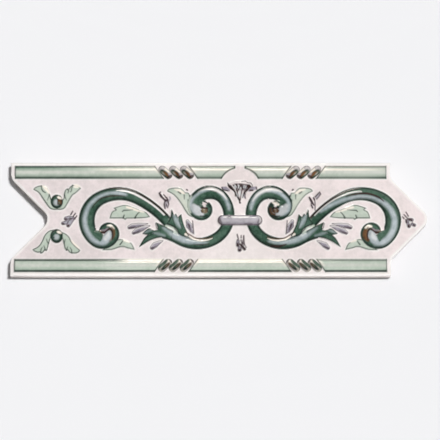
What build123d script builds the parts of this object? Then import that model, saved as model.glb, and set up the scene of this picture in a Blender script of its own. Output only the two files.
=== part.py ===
"""A pressed ceramic border tile: a chevron-ended body with a moulded relief of bound rails, scrolls and leaves.

The tile lies on its back. X runs along the border from the notched end to the pointed end, Y runs up the wall,
and Z points out of the glazed face. The origin is the middle of the box that holds the tile, on its back face.
"""

import math
import os

from build123d import *

# Body, in millimetres
tile_length = 200.0  # one laid module, shoulder to shoulder along each long edge
tile_width = 60.0
body_thickness = 8.0  # back face to the ground of the relief
flank_angle = 45.0  # slope of the notch and the point, from the border's direction
flank_half_height = 21.5  # the flanks start this far from the middle line
apex_radius = 5.5  # rounding of the notch's bottom and of the point
shoulder_radius = 6.0  # rounding where a flank meets a shoulder
arris_radius = 0.8  # glazed edge round the face

# Keying grooves in the back
groove_count = 6
groove_width = 3.2
groove_depth = 0.7
groove_pitch = 8.0
groove_end_margin = 9.0  # from a groove's end to the tile's end

# Rails along the two long edges
rail_width = 6.5
rail_rise = 2.0
rail_offset = 24.8  # middle line to the rail's middle
rail_end_margin = 2.3
arch_radius = 11.0  # clearing in the upper rail over the central fan
arch_top_margin = 2.7  # from the tile's edge to the top of the clearing

# Ribbon binding on the rails
binding_offset = 34.0  # ornament's axis to the middle of a binding
binding_gap = 19.2  # length of rail that a binding takes the place of
binding_slant = 4.3  # how far a rail's cut end leans over its width
wrap_count = 3
wrap_pitch = 5.8
wrap_width = 3.9
wrap_angle = 42.0
wrap_lift = 0.5  # height of a wrap's axis over the ground
wrap_rise = 2.6  # crown of the bundle that the wraps are trimmed to

# Relief heights over the ground
roll_flatness = 0.37  # rise of a rolled stem for each millimetre of its width
eye_flatness = 0.28
leaf_rise = 1.5
leaf_edge_rise = 0.6
sheath_rise = 2.3
sheath_edge_rise = 1.2
relief_root = 1.0  # how deep the relief's solids reach into the body

# Ornament's mirror axis, from the middle of the laid module
axis_shift = 1.5

# Clasp that binds the two inner scrolls
clasp_length = 23.4
clasp_width = 5.3
clasp_rise = 3.4
clasp_drop = 0.8  # below the middle line

# Berries between the end leaves
berry_from_axis = 96.4
berry_height = 9.2  # from the middle line
berry_width = 6.8
berry_rise = 2.8

# Left scrolls, each a chain of tangent arcs from its stem to its eye
# The start is X from the axis and Y from the middle line, and an arc is its radius, its turn and its end's width
loft_sagitta = 0.1  # how far a roll's lofted steps may leave its arc
outer_start = (-36.9, -3.2)
outer_heading = 128.0
outer_start_width = 4.7
outer_roll_arcs = [(52.0, 25, 5.7), (21.0, 54, 6.6), (13.3, 60, 7.6), (13.3, 56, 6.8), (5.9, 95, 5.3)]
outer_curl_arcs = [(4.2, 87, 4.3), (3.1, 125, 2.2)]
outer_eye = ((-69.7, -8.0), 4.8)
inner_start = (-40.5, -7.6)
inner_heading = -12.5
inner_start_width = 4.7
inner_roll_arcs = [(34.0, -16, 5.3), (19.0, 59, 5.4), (14.5, 95, 6.0), (9.2, 57, 6.8), (9.2, 57, 6.1)]
inner_curl_arcs = [(5.5, 91, 4.5), (3.7, 167, 1.8)]
inner_eye = ((-19.4, 5.0), 3.8)

# Outlines of the left leaves: each run is a smooth edge, and runs meet at the leaf's points
curl_leaf = [
    [(-68.8, 0.0), (-68.0, 2.7), (-65.4, 4.8)],
    [(-65.4, 4.8), (-66.7, 5.6)],
    [(-66.7, 5.6), (-60.1, 7.5), (-52.7, 4.8), (-46.9, 0.5)],
    [(-46.9, 0.5), (-54.3, -0.1), (-59.6, 0.0)],
    [(-59.6, 0.0), (-60.4, -0.8)],
    [(-60.4, -0.8), (-61.4, 0.0), (-68.8, 0.0)],
]
foot_leaf = [
    [(-73.3, -15.2), (-69.9, -17.0), (-62.7, -15.2), (-55.4, -16.5)],
    [(-55.4, -16.5), (-57.2, -12.8)],
    [(-57.2, -12.8), (-62.2, -11.1), (-66.5, -11.7)],
    [(-66.5, -11.7), (-73.3, -15.2)],
]
back_leaf = [
    [(-38.8, 14.9), (-34.3, 16.8), (-29.6, 14.9), (-25.4, 9.0)],
    [(-25.4, 9.0), (-21.2, 0.5)],
    [(-21.2, 0.5), (-25.9, 1.1), (-30.1, 6.4), (-34.0, 11.6), (-38.8, 14.9)],
]
stem_sheath = [
    [(-38.6, -2.6), (-36.7, 0.0), (-35.9, 5.2)],
    [(-35.9, 5.2), (-34.6, 1.6)],
    [(-34.6, 1.6), (-33.8, 2.9)],
    [(-33.8, 2.9), (-32.7, 0.8)],
    [(-32.7, 0.8), (-30.9, 2.4)],
    [(-30.9, 2.4), (-29.6, -3.0), (-26.8, -9.2)],
    [(-26.8, -9.2), (-31.2, -9.1), (-33.6, -5.4), (-38.6, -2.6)],
]
tail_sheath = [
    [(-44.2, -1.9), (-39.6, -4.0), (-35.0, -6.4)],
    [(-35.0, -6.4), (-35.9, -11.3)],
    [(-35.9, -11.3), (-41.5, -10.0), (-47.0, -11.5), (-53.0, -15.1)],
    [(-53.0, -15.1), (-50.7, -10.9), (-48.6, -8.7)],
    [(-48.6, -8.7), (-51.2, -7.7)],
    [(-51.2, -7.7), (-48.0, -5.3), (-44.6, -6.4)],
    [(-44.6, -6.4), (-43.3, -5.0), (-44.2, -1.9)],
]
berry_leaf = [
    [(-108.8, 15.5), (-104.6, 17.5), (-100.6, 12.8), (-97.0, 7.5)],
    [(-97.0, 7.5), (-95.2, 5.6)],
    [(-95.2, 5.6), (-101.0, 6.8), (-104.8, 12.2), (-108.8, 15.5)],
]
centre_fan = [
    [(-6.4, 18.7), (0.0, 20.2), (6.4, 18.7)],
    [(6.4, 18.7), (2.6, 14.2), (0.0, 8.5)],
    [(0.0, 8.5), (-2.6, 14.2), (-6.4, 18.7)],
]

# Places worked out from the sizes above
flank_depth = flank_half_height / math.tan(math.radians(flank_angle))
point_loss = apex_radius * (1 / math.sin(math.radians(flank_angle)) - 1)
overall_length = tile_length + flank_depth - point_loss
shoulder_x = -overall_length / 2
far_shoulder_x = shoulder_x + tile_length
axis_x = shoulder_x + flank_depth - point_loss + tile_length / 2 + axis_shift
ground = Plane.XY.offset(body_thickness)


def on_ground(point, height=0.0):
    """A point of the ornament as a place on the ground of the relief."""
    return (axis_x + point[0], point[1], body_thickness + height)


def cap_radius(width, rise):
    """Radius of the circle that stands over its chord as a cap of this width and rise."""
    return (width**2 / 4 + rise**2) / (2 * rise)


def stem_section(place, along, width):
    """The round section of a stem, square to its path and sunk so that it shows the width and its rise."""
    rise = width * roll_flatness
    radius = cap_radius(width, rise)
    with BuildSketch(Plane(place, x_dir=along.cross(Vector(0, 0, 1)), z_dir=along)) as section:
        with Locations((0, radius - rise)):
            Circle(radius)
    return section.sketch


def rolled_scroll(start, heading, width, *chains):
    """A tapered scroll, with one loft for each chain of arcs, and each arc tangent to the one before."""
    place = Vector(*on_ground(start))
    along = Vector(1, 0, 0).rotate(Axis.Z, heading)
    rolls = []
    for arcs in chains:
        sections = [stem_section(place, along, width)]
        for radius, turn, end_width in arcs:
            with BuildLine():
                arc = JernArc(place, along, radius, turn)
            step_turn = 2 * math.degrees(math.acos(1 - loft_sagitta / radius))
            steps = math.ceil(abs(turn) / step_turn)
            for step in range(1, steps + 1):
                share = step / steps
                share_width = width + (end_width - width) * share
                sections.append(stem_section(arc.position_at(share), arc.tangent_at(share), share_width))
            place = arc.position_at(1)
            along = arc.tangent_at(1)
            width = end_width
        with BuildPart() as roll:
            loft(sections=sections, ruled=True)
        rolls.append(roll.part)
    return rolls


def domed_boss(centre, width, rise):
    """A round boss whose top is a cap of a sphere."""
    radius = cap_radius(width, rise)
    with BuildPart() as boss:
        with Locations(on_ground(centre, rise - radius)):
            Sphere(radius, rotation=(90, 0, 0))
    return boss.part


def crowned_leaf(outline, rise, edge_rise):
    """A leaf cut from its outline, with a top that falls from its middle to its furthest point."""
    corners = [Vector(*run[0]) for run in outline]
    middle = sum(corners, Vector()) / len(corners)
    reach = max((corner - middle).length for corner in corners)
    fall = rise - edge_rise
    crown_radius = cap_radius(2 * reach, fall)
    with BuildPart() as leaf:
        with BuildSketch(ground.offset(-relief_root)):
            with BuildLine(Location((axis_x, 0))):
                for run in outline:
                    if len(run) == 2:
                        Line(*run)
                    else:
                        Spline(*run)
            make_face()
        extrude(amount=relief_root + rise)
        with Locations(on_ground((middle.X, middle.Y), rise - crown_radius)):
            Sphere(crown_radius, rotation=(90, 0, 0), mode=Mode.INTERSECT)
    return leaf.part


def bound_rails():
    """The two rails, round rods sunk in the body and cut back at the bindings and under the arched clearing."""
    radius = cap_radius(rail_width, rail_rise)
    axis_height = body_thickness + rail_rise - radius
    with BuildPart() as rails:
        with BuildSketch(Plane.YZ.offset(shoulder_x + rail_end_margin)):
            with Locations((rail_offset, axis_height), (-rail_offset, axis_height)):
                Circle(radius)
        extrude(amount=tile_length - 2 * rail_end_margin)
        with BuildSketch(Plane.XY):
            for side in (-1, 1):
                middle = axis_x + side * binding_offset
                lean = side * binding_slant / 2
                for edge in (-1, 1):
                    inner_y = edge * (rail_offset - rail_width / 2)
                    outer_y = edge * (rail_offset + rail_width / 2)
                    with BuildLine():
                        Polyline(
                            (middle - binding_gap / 2 + lean, outer_y),
                            (middle + binding_gap / 2 + lean, outer_y),
                            (middle + binding_gap / 2 - lean, inner_y),
                            (middle - binding_gap / 2 - lean, inner_y),
                            close=True,
                        )
                    make_face()
            arch_y = tile_width / 2 - arch_top_margin - arch_radius
            with Locations((axis_x, arch_y)):
                Circle(arch_radius)
        extrude(amount=body_thickness + rail_rise, mode=Mode.SUBTRACT)
    return rails.part


def ribbon_binding(side, edge):
    """One binding: turns of ribbon laid slantwise over a rail and trimmed to a round bundle."""
    middle = (side * binding_offset, edge * rail_offset)
    bundle_radius = cap_radius(rail_width, wrap_rise)
    turn = Location((0, 0, 0), (0, 0, side * edge * wrap_angle))
    with BuildPart() as binding:
        with Locations(on_ground(middle, wrap_lift)):
            with GridLocations(wrap_pitch, 1, wrap_count, 1):
                with Locations(turn):
                    Cylinder(wrap_width / 2, 2 * rail_width, rotation=(0, 90, 0))
        with Locations(on_ground(middle, wrap_rise - bundle_radius)):
            Cylinder(bundle_radius, 2 * binding_gap, rotation=(0, 90, 0), mode=Mode.INTERSECT)
    return binding.part


def clasp_bar():
    """The bar across the middle, a round rod with round ends."""
    radius = cap_radius(clasp_width, clasp_rise)
    end = clasp_length / 2 - radius
    height = clasp_rise - radius
    with BuildPart() as clasp:
        with Locations(on_ground((0, -clasp_drop), height)):
            Cylinder(radius, 2 * end, rotation=(0, 90, 0))
        with Locations(on_ground((-end, -clasp_drop), height), on_ground((end, -clasp_drop), height)):
            Sphere(radius, rotation=(0, 90, 0))
    return clasp.part


def mirrored(relief, plane):
    """The relief with its mirror image on the other side of a plane."""
    return relief + [mirror(piece, about=plane) for piece in relief]


left_relief = [
    *rolled_scroll(outer_start, outer_heading, outer_start_width, outer_roll_arcs, outer_curl_arcs),
    domed_boss(*outer_eye, outer_eye[1] * eye_flatness),
    *rolled_scroll(inner_start, inner_heading, inner_start_width, inner_roll_arcs, inner_curl_arcs),
    domed_boss(*inner_eye, inner_eye[1] * eye_flatness),
    crowned_leaf(curl_leaf, leaf_rise, leaf_edge_rise),
    crowned_leaf(foot_leaf, leaf_rise, leaf_edge_rise),
    crowned_leaf(back_leaf, leaf_rise, leaf_edge_rise),
    crowned_leaf(stem_sheath, sheath_rise, sheath_edge_rise),
    crowned_leaf(tail_sheath, sheath_rise, sheath_edge_rise),
]
upper_berry = [
    domed_boss((-berry_from_axis, berry_height), berry_width, berry_rise),
    *mirrored([crowned_leaf(berry_leaf, leaf_rise, leaf_edge_rise)], Plane.YZ.offset(axis_x - berry_from_axis)),
]
relief = [
    *mirrored(left_relief, Plane.YZ.offset(axis_x)),
    *mirrored(upper_berry, Plane.XZ),
    crowned_leaf(centre_fan, sheath_rise, sheath_edge_rise),
    clasp_bar(),
    bound_rails(),
    *[ribbon_binding(side, edge) for side in (-1, 1) for edge in (-1, 1)],
]

with BuildPart() as border_tile:
    with BuildSketch() as outline:
        with BuildLine():
            Polyline(
                (shoulder_x, tile_width / 2),
                (shoulder_x, flank_half_height),
                (shoulder_x + flank_depth, 0),
                (shoulder_x, -flank_half_height),
                (shoulder_x, -tile_width / 2),
                (far_shoulder_x, -tile_width / 2),
                (far_shoulder_x, -flank_half_height),
                (far_shoulder_x + flank_depth, 0),
                (far_shoulder_x, flank_half_height),
                (far_shoulder_x, tile_width / 2),
                close=True,
            )
        make_face()
        rows = outline.vertices().group_by(Axis.Y)
        fillet(rows[2], apex_radius)
        fillet(rows[1] + rows[3], shoulder_radius)
    extrude(amount=body_thickness)
    fillet(faces().sort_by(Axis.Z)[-1].edges(), arris_radius)
    with BuildSketch():
        for number in range(groove_count):
            groove_y = (number - (groove_count - 1) / 2) * groove_pitch
            inset = max(0, flank_half_height - abs(groove_y)) / math.tan(math.radians(flank_angle))
            with Locations((shoulder_x + inset + tile_length / 2, groove_y)):
                Rectangle(tile_length - 2 * groove_end_margin, groove_width)
    extrude(amount=groove_depth, mode=Mode.SUBTRACT)
    add(relief)

border_tile.part.label = "border_tile"
os.makedirs("parts", exist_ok=True)
export_step(border_tile.part, "parts/border_tile.step")
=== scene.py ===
"""The looks of a pressed border tile: its moulded face as one closed mesh, and the painted glaze on it.

Lengths are in millimetres until the mesh is made. X runs along the border, Y up the wall, and Z out of
the glazed face. A place on the ornament is its X from the ornament's axis and its Y from the middle line.
The two halves mirror each other, so that most of the ornament is given once, for the left half.
"""

import math

import bpy
import numpy as np
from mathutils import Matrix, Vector
from mathutils.geometry import delaunay_2d_cdt


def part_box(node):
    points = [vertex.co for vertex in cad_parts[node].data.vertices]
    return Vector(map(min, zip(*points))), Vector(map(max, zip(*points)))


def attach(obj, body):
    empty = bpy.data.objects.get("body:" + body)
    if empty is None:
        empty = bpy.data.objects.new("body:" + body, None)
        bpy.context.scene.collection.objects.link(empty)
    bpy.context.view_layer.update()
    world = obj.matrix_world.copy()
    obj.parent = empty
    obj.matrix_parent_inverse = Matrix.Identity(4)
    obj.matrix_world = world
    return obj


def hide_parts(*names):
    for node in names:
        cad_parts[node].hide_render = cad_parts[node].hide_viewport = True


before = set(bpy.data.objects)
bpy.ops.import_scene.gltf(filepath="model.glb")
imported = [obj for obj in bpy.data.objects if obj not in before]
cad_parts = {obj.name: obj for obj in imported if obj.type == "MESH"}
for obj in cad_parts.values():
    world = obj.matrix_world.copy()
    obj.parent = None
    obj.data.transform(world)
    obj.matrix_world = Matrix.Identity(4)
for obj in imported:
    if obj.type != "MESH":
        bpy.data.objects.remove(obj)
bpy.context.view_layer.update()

MM = 0.001

# Body
tile_low, tile_high = [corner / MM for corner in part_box("border_tile")]
tile_length = 200.0
tile_width = tile_high.y - tile_low.y
shoulder_x = tile_low.x
far_shoulder_x = shoulder_x + tile_length
body_thickness = 8.0
flank_angle = math.radians(45.0)
flank_half_height = 21.5
apex_radius = 5.5
shoulder_radius = 6.0
arris_radius = 0.8
foot_chamfer = 0.25
wall_levels = (5.0, 2.5, foot_chamfer)
sharp_angle = math.radians(60.0)
axis_shift = 1.5
axis_x = tile_high.x - tile_length / 2 + axis_shift

# Keying grooves in the back
groove_count = 6
groove_width = 3.2
groove_depth = 0.7
groove_pitch = 8.0
groove_end_margin = 9.0

# Rails and their bindings
rail_width = 6.5
rail_rise = 2.0
rail_offset = 24.8
rail_end_margin = 2.3
arch_radius = 11.0
arch_margin = 2.7
arch_height = tile_width / 2 - arch_margin - arch_radius
arch_gap = 2.6
binding_offset = 33.6
binding_gap = 17.8
binding_slant = 4.6
wrap_pitch = 5.7
wrap_width = 4.3
wrap_angle = math.radians(41.0)
wrap_reach = 2.1
wrap_lift = 0.2

# Where the rails' glaze and their painted highlights change, in X from the axis, and over what reach
end_moss_start = 78.0
end_moss_reach = 26.0
light_start = 80.0
light_reach = 16.0
lower_light_start = 66.0
lower_light_reach = 8.0
lower_light_end = 40.0
thin_line_start = 90.0
thin_line_reach = 30.0

# Rises over the body's level
roll_flatness = 0.37
eye_flatness = 0.28
arc_overlap = 0.0001
leaf_rises = (1.5, 0.6)
sheath_rises = (2.3, 1.2)
petal_swell = 0.15
stroke_rise = 0.45
fill_slope = 1.8

# Clasp and berries
clasp_length = 23.4
clasp_width = 5.3
clasp_rise = 3.4
clasp_drop = 0.8
berry_from_axis = 96.4
berry_height = 9.2
berry_width = 6.5
berry_squeeze = 0.88
berry_rise = 2.8

# Scrolls: start, heading, start width, then each tangent arc's radius, turn and end width
outer_scroll = (
    (-36.9, -3.2), 128.0, 4.7,
    [(52.0, 25, 5.7), (21.0, 54, 6.6), (13.3, 60, 7.6), (13.3, 56, 6.8),
     (5.9, 95, 5.1), (3.75, 87, 4.1), (3.1, 125, 2.2)],
)
outer_eye = ((-69.7, -8.0), 4.8)
inner_scroll = (
    (-40.5, -7.6), -12.5, 4.7,
    [(34.0, -16, 5.3), (19.0, 59, 5.1), (14.5, 55, 4.9), (14.5, 40, 5.4),
     (9.1, 57, 6.5), (9.1, 57, 5.7), (5.5, 91, 4.4), (3.7, 167, 1.8)],
)
inner_eye = ((-19.4, 5.0), 3.8)

# Leaf outlines: each run is a smooth edge that goes on from the end of the run before it, and the runs
# meet at the leaf's points
curl_leaf = [
    [(-67.8, 2.8), (-66.9, 4.1), (-65.4, 4.7)],
    [(-66.5, 5.8)],
    [(-63.0, 6.9), (-60.6, 7.4), (-58.0, 6.8), (-52.7, 4.7), (-49.6, 3.6), (-47.2, 1.0)],
    [(-50.6, 0.4), (-55.4, 0.2), (-59.6, 0.1)],
    [(-60.4, -0.5), (-61.4, 0.2)],
    [(-68.6, 0.2)],
]
foot_leaf = [
    [(-67.5, -16.5), (-62.2, -15.0), (-59.0, -15.7), (-55.3, -16.5)],
    [(-56.3, -14.1), (-57.2, -12.8)],
    [(-59.3, -12.0), (-61.5, -11.0), (-63.5, -10.9), (-66.0, -11.9)],
    [(-72.5, -16.7)],
]
back_leaf = [
    [(-37.6, 15.9), (-36.0, 16.4), (-33.3, 16.6), (-31.4, 16.4), (-30.1, 15.5), (-28.9, 14.1)],
    [(-27.3, 13.9), (-26.5, 12.8), (-25.4, 9.0)],
    [(-23.0, 0.5)],
    [(-26.5, 1.5), (-28.5, 3.8), (-31.2, 8.3), (-34.6, 12.5), (-38.5, 14.8)],
]
stem_sheath = [
    [(-36.7, 0.0), (-35.9, 5.2)],
    [(-34.6, 1.6)],
    [(-33.8, 2.9)],
    [(-32.7, 0.8)],
    [(-30.9, 2.4)],
    [(-29.6, -3.0), (-26.8, -9.2)],
    [(-31.2, -9.1), (-33.6, -5.4), (-38.6, -2.6)],
]
tail_sheath = [
    [(-39.6, -4.0), (-35.0, -6.4)],
    [(-35.9, -11.3)],
    [(-41.5, -10.0), (-47.0, -11.5), (-53.0, -15.1)],
    [(-50.7, -10.9), (-48.6, -8.7)],
    [(-51.2, -7.7)],
    [(-48.0, -5.3), (-44.6, -6.4)],
    [(-43.3, -5.0), (-44.2, -1.9)],
]
berry_leaves = [
    [
        [(-108.0, 16.8), (-106.4, 17.5), (-104.5, 17.9)],
        [(-101.9, 16.9), (-100.3, 13.5), (-99.3, 10.4)],
        [(-96.3, 6.0)],
        [(-96.3, 4.8)],
        [(-98.6, 4.9), (-100.6, 6.1), (-104.0, 10.9), (-106.1, 13.9), (-108.9, 15.6)],
    ],
    [
        [(-84.6, 17.3), (-86.2, 18.1), (-88.0, 18.1)],
        [(-89.4, 17.2), (-90.0, 16.1)],
        [(-91.5, 15.9), (-92.5, 14.0), (-92.8, 11.0)],
        [(-96.3, 6.0)],
        [(-96.3, 4.8)],
        [(-94.0, 4.9), (-91.9, 6.1), (-88.5, 11.9), (-86.3, 13.8), (-83.8, 16.2)],
    ],
    [
        [(-108.2, -17.3), (-106.4, -18.0), (-105.2, -17.9)],
        [(-104.4, -18.5), (-103.2, -17.7), (-102.4, -16.7)],
        [(-101.5, -17.1), (-100.9, -15.4), (-100.4, -13.2)],
        [(-98.0, -5.7)],
        [(-100.4, -6.4), (-102.6, -8.6), (-104.1, -12.0), (-106.0, -14.7), (-109.1, -16.3)],
    ],
    [
        [(-84.7, -17.8), (-86.2, -18.4), (-88.1, -18.4)],
        [(-89.6, -17.9), (-90.4, -16.8)],
        [(-91.3, -16.9), (-92.2, -15.4), (-92.6, -13.4)],
        [(-94.6, -6.6)],
        [(-91.7, -7.9), (-89.8, -9.6), (-88.4, -12.3), (-86.4, -14.5), (-83.9, -16.8)],
    ],
]
centre_fan = [
    [(0.0, 20.2), (6.4, 18.7)],
    [(2.6, 14.2), (0.0, 8.5)],
    [(-2.6, 14.2), (-6.4, 18.7)],
]

# Brush strokes: each point is X, Y and the stroke's width there
leaf_veins = [
    [(-61.9, 3.7, 0.5), (-61.2, 4.4, 0.7), (-59.0, 4.5, 0.6), (-56.4, 4.8, 0.3)],
    [(-53.0, 3.5, 0.5), (-53.8, 2.7, 0.6), (-54.6, 1.6, 0.7), (-55.2, 0.5, 1.0)],
    [(-60.9, 1.9, 0.6), (-61.4, 0.5, 0.9)],
    [(-61.7, -12.0, 0.6), (-63.0, -13.8, 0.8)],
    [(-65.2, -11.9, 0.5), (-65.4, -12.8, 0.4)],
    [(-32.6, 14.4, 0.6), (-31.3, 13.5, 0.8)],
    [(-29.4, 12.8, 0.6), (-29.3, 10.4, 0.4)],
    [(-27.3, 10.0, 0.6), (-27.2, 7.7, 0.4)],
    [(-26.3, 12.3, 0.9), (-26.2, 10.7, 0.9)],
]
berry_leaf_veins = [
    [(-104.6, 17.4, 0.4), (-104.4, 15.7, 0.7), (-103.6, 14.5, 0.7), (-102.4, 13.9, 0.5)],
    [(-100.4, 12.8, 0.6), (-100.8, 11.2, 0.5), (-101.4, 9.8, 0.3)],
    [(-88.2, 17.9, 0.7), (-88.6, 16.3, 0.5), (-88.7, 15.0, 0.5), (-89.3, 14.2, 0.4)],
    [(-90.8, 15.7, 0.5), (-90.2, 14.8, 0.6), (-90.6, 13.7, 0.5)],
    [(-92.4, 12.8, 0.5), (-91.9, 11.2, 0.5), (-91.4, 9.8, 0.3)],
    [(-104.7, -18.1, 0.5), (-104.5, -16.3, 0.6), (-103.8, -15.1, 0.3)],
    [(-102.3, -16.7, 0.6), (-102.6, -15.4, 0.6), (-103.1, -14.3, 0.3)],
    [(-101.6, -10.8, 0.4), (-101.4, -12.0, 0.5), (-100.7, -13.1, 0.6)],
    [(-88.3, -18.3, 0.6), (-88.5, -16.6, 0.6), (-89.3, -15.2, 0.3)],
    [(-91.0, -16.7, 0.6), (-90.8, -15.7, 0.5), (-90.4, -14.8, 0.3)],
    [(-91.9, -11.1, 0.4), (-92.2, -12.3, 0.5), (-92.5, -13.2, 0.5)],
]
berry_leaf_lights = [
    [(-103.8, 17.4, 0.8), (-102.5, 16.4, 1.8), (-101.3, 14.8, 1.2), (-100.5, 13.5, 0.6)],
    [(-87.2, 17.0, 0.9), (-85.6, 16.8, 0.9)],
    [(-87.0, 18.0, 0.9), (-85.4, 17.7, 1.0), (-84.4, 17.0, 0.6)],
    [(-88.4, -11.6, 0.7), (-87.4, -13.0, 0.9), (-85.8, -14.4, 1.0), (-84.5, -15.5, 0.6)],
]
leaf_lights = [
    [(-59.6, 6.1, 0.9), (-57.5, 5.6, 1.3), (-55.4, 4.9, 1.1), (-53.3, 4.1, 0.9), (-50.6, 3.6, 0.6)],
    [(-34.3, 15.7, 0.5), (-31.7, 15.0, 1.6), (-30.1, 13.9, 1.4), (-29.3, 13.3, 0.8)],
    [(-60.9, -11.5, 0.9), (-59.3, -12.1, 0.9), (-58.3, -12.5, 0.6)],
]
leaf_sheens = [
    [(-34.4, 14.2, 1.4), (-31.2, 11.4, 3.0), (-28.2, 6.8, 2.6), (-26.0, 3.4, 1.2)],
]
curl_webs = [
    [(-72.6, -10.2, 3.6), (-71.0, -10.6, 3.6)],
    [(-75.6, -6.9, 1.6), (-74.0, -8.0, 2.8), (-72.9, -9.8, 3.0), (-73.2, -11.6, 1.6)],
]
curl_hearts = [
    [(-72.6, -13.0, 1.8), (-70.6, -11.4, 3.6), (-69.6, -9.4, 4.0), (-69.2, -7.6, 2.6), (-69.2, -6.6, 1.2)],
]
curl_cores = [
    [(-70.8, -10.8, 2.0), (-69.6, -9.0, 2.4), (-69.2, -7.4, 1.2)],
]
curl_creases = [
    [(-72.9, -7.4, 0.7), (-71.6, -7.4, 1.4), (-69.9, -6.1, 1.1), (-68.3, -5.2, 0.9), (-67.3, -6.5, 0.8),
     (-66.9, -8.9, 0.8), (-67.2, -11.4, 0.5)],
]
curl_warm_reflections = [
    [(-67.4, -4.6, 0.6), (-66.2, -6.2, 1.0), (-66.0, -8.4, 1.0), (-66.5, -10.4, 0.5)],
    [(-73.8, -6.5, 0.8), (-72.4, -7.0, 0.6)],
]
curl_glints = [
    [(-73.2, -6.1, 0.5), (-71.2, -6.1, 0.8), (-69.7, -5.0, 0.6)],
]
inner_webs = [
    [(-23.0, 8.7, 1.8), (-21.6, 8.8, 2.4), (-20.0, 9.1, 2.2), (-18.5, 9.4, 1.0)],
    [(-20.6, 6.8, 2.6), (-18.4, 6.4, 2.6)],
]
inner_hearts = [
    [(-24.4, 6.6, 2.4), (-22.8, 4.9, 4.2), (-21.3, 3.5, 3.8), (-20.2, 2.4, 2.4)],
]
inner_creases = [
    [(-18.8, 9.3, 0.6), (-17.0, 8.3, 0.9), (-15.9, 6.4, 0.9)],
    [(-20.1, 8.2, 0.5), (-19.9, 6.4, 0.5)],
    [(-20.8, 1.4, 0.6), (-18.8, 1.2, 0.9), (-17.0, 1.9, 0.6)],
]
inner_eyes = [
    [(-19.2, 4.3, 2.7), (-18.3, 4.2, 2.7)],
]
inner_eye_shades = [
    [(-20.4, 5.7, 0.8), (-19.0, 5.9, 0.9), (-17.5, 5.6, 0.9)],
    [(-20.6, 4.6, 0.4), (-20.0, 3.2, 0.4)],
    [(-17.3, 5.4, 0.5), (-17.0, 3.6, 0.5)],
]
inner_sheens = [
    [(-18.9, 4.4, 0.6), (-18.8, 3.6, 0.9)],
]
right_inner_glints = [
    [(17.4, 8.7, 0.9), (18.6, 8.3, 1.6), (20.1, 7.6, 1.3)],
]
inner_glints = [
    [(-19.4, 8.6, 0.7), (-18.9, 7.5, 1.5), (-18.6, 6.8, 1.4)],
]
clasp_glints = [
    [(-4.4, 1.0, 0.6), (-2.6, 0.7, 1.0), (0.0, 0.55, 1.1), (2.6, 0.7, 1.0), (4.8, 1.0, 0.6)],
    [(-8.7, 0.8, 0.5), (-7.5, 0.9, 0.9), (-6.7, 1.0, 0.5)],
]
clasp_shades = [
    [(-6.5, 0.3, 0.6), (-5.5, 0.6, 1.0), (-4.6, 0.3, 0.6)],
    [(-10.9, 0.4, 0.7), (-10.7, -0.6, 1.3), (-10.2, -1.6, 1.0), (-9.5, -2.6, 0.6)],
    [(10.0, -0.4, 0.5), (9.8, -1.4, 1.0), (9.3, -2.4, 0.6)],
    [(2.6, -3.0, 0.4), (4.0, -2.9, 0.7), (6.4, -2.9, 0.5)],
]
clasp_ends = [
    [(9.8, 1.0, 0.6), (10.7, 0.2, 0.8), (10.9, -1.0, 0.8), (10.4, -2.2, 0.6)],
]
tail_lines = [
    [(-28.4, -7.2, 0.5), (-26.4, -8.5, 0.7), (-23.8, -10.1, 0.7), (-20.1, -10.8, 0.6), (-16.9, -10.5, 0.6),
     (-14.3, -9.6, 0.4)],
]
right_tail_shades = [
    [(24.2, -13.8, 0.6), (20.4, -14.7, 1.3), (16.2, -14.6, 0.9)],
]
tail_glints = [
    [(-26.4, -9.4, 0.6), (-23.6, -11.0, 0.9), (-20.1, -11.7, 1.0), (-17.0, -11.4, 0.8),
     (-14.6, -10.5, 0.4)],
    [(-28.6, -8.3, 1.2), (-27.8, -8.9, 0.8)],
    [(-26.4, -9.6, 0.4), (-24.4, -10.8, 0.7), (-22.0, -11.4, 0.7), (-19.0, -11.6, 0.6),
     (-15.6, -11.0, 0.3)],
]
sheath_lights = [
    [(-34.7, 1.4, 0.8), (-33.6, -0.8, 2.2), (-32.4, -2.8, 2.0), (-31.4, -4.6, 0.8)],
    [(-40.4, -5.0, 0.6), (-37.8, -6.8, 1.6), (-35.6, -8.4, 2.4), (-33.0, -9.9, 2.8), (-29.5, -11.7, 2.4),
     (-26.0, -12.6, 1.8)],
]
sheath_sheens = [
    [(-45.6, -7.6, 0.7), (-42.6, -8.3, 1.6), (-39.6, -9.2, 1.0)],
    [(-50.2, -7.6, 0.6), (-48.4, -6.8, 1.3), (-46.8, -6.4, 0.6)],
]
sheath_webs = [
    [(-38.6, -3.8, 1.4), (-36.0, -5.0, 2.0), (-33.4, -7.2, 1.8)],
]
sheath_glints = [
    [(-38.0, -4.6, 0.5), (-36.2, -5.3, 1.0), (-34.6, -6.3, 0.5)],
    [(-46.2, -5.6, 0.7), (-43.8, -5.8, 0.9)],
]
sheath_veins = [
    [(-36.0, 4.2, 0.5), (-35.6, 0.4, 0.5), (-33.9, -4.4, 0.3)],
    [(-31.4, 1.8, 0.4), (-32.0, -1.0, 0.5), (-30.4, -5.6, 0.4)],
    [(-52.6, -14.6, 0.4), (-49.6, -10.2, 0.5), (-45.2, -8.0, 0.3)],
    [(-51.0, -7.9, 0.5), (-48.6, -8.4, 0.5), (-45.4, -7.3, 0.4)],
    [(-44.4, -2.4, 0.5), (-43.8, -5.0, 0.5), (-41.6, -6.4, 0.4)],
    [(-38.4, -3.0, 0.5), (-35.0, -4.2, 0.6), (-32.0, -8.0, 0.6), (-28.4, -9.4, 0.5)],
]
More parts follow.
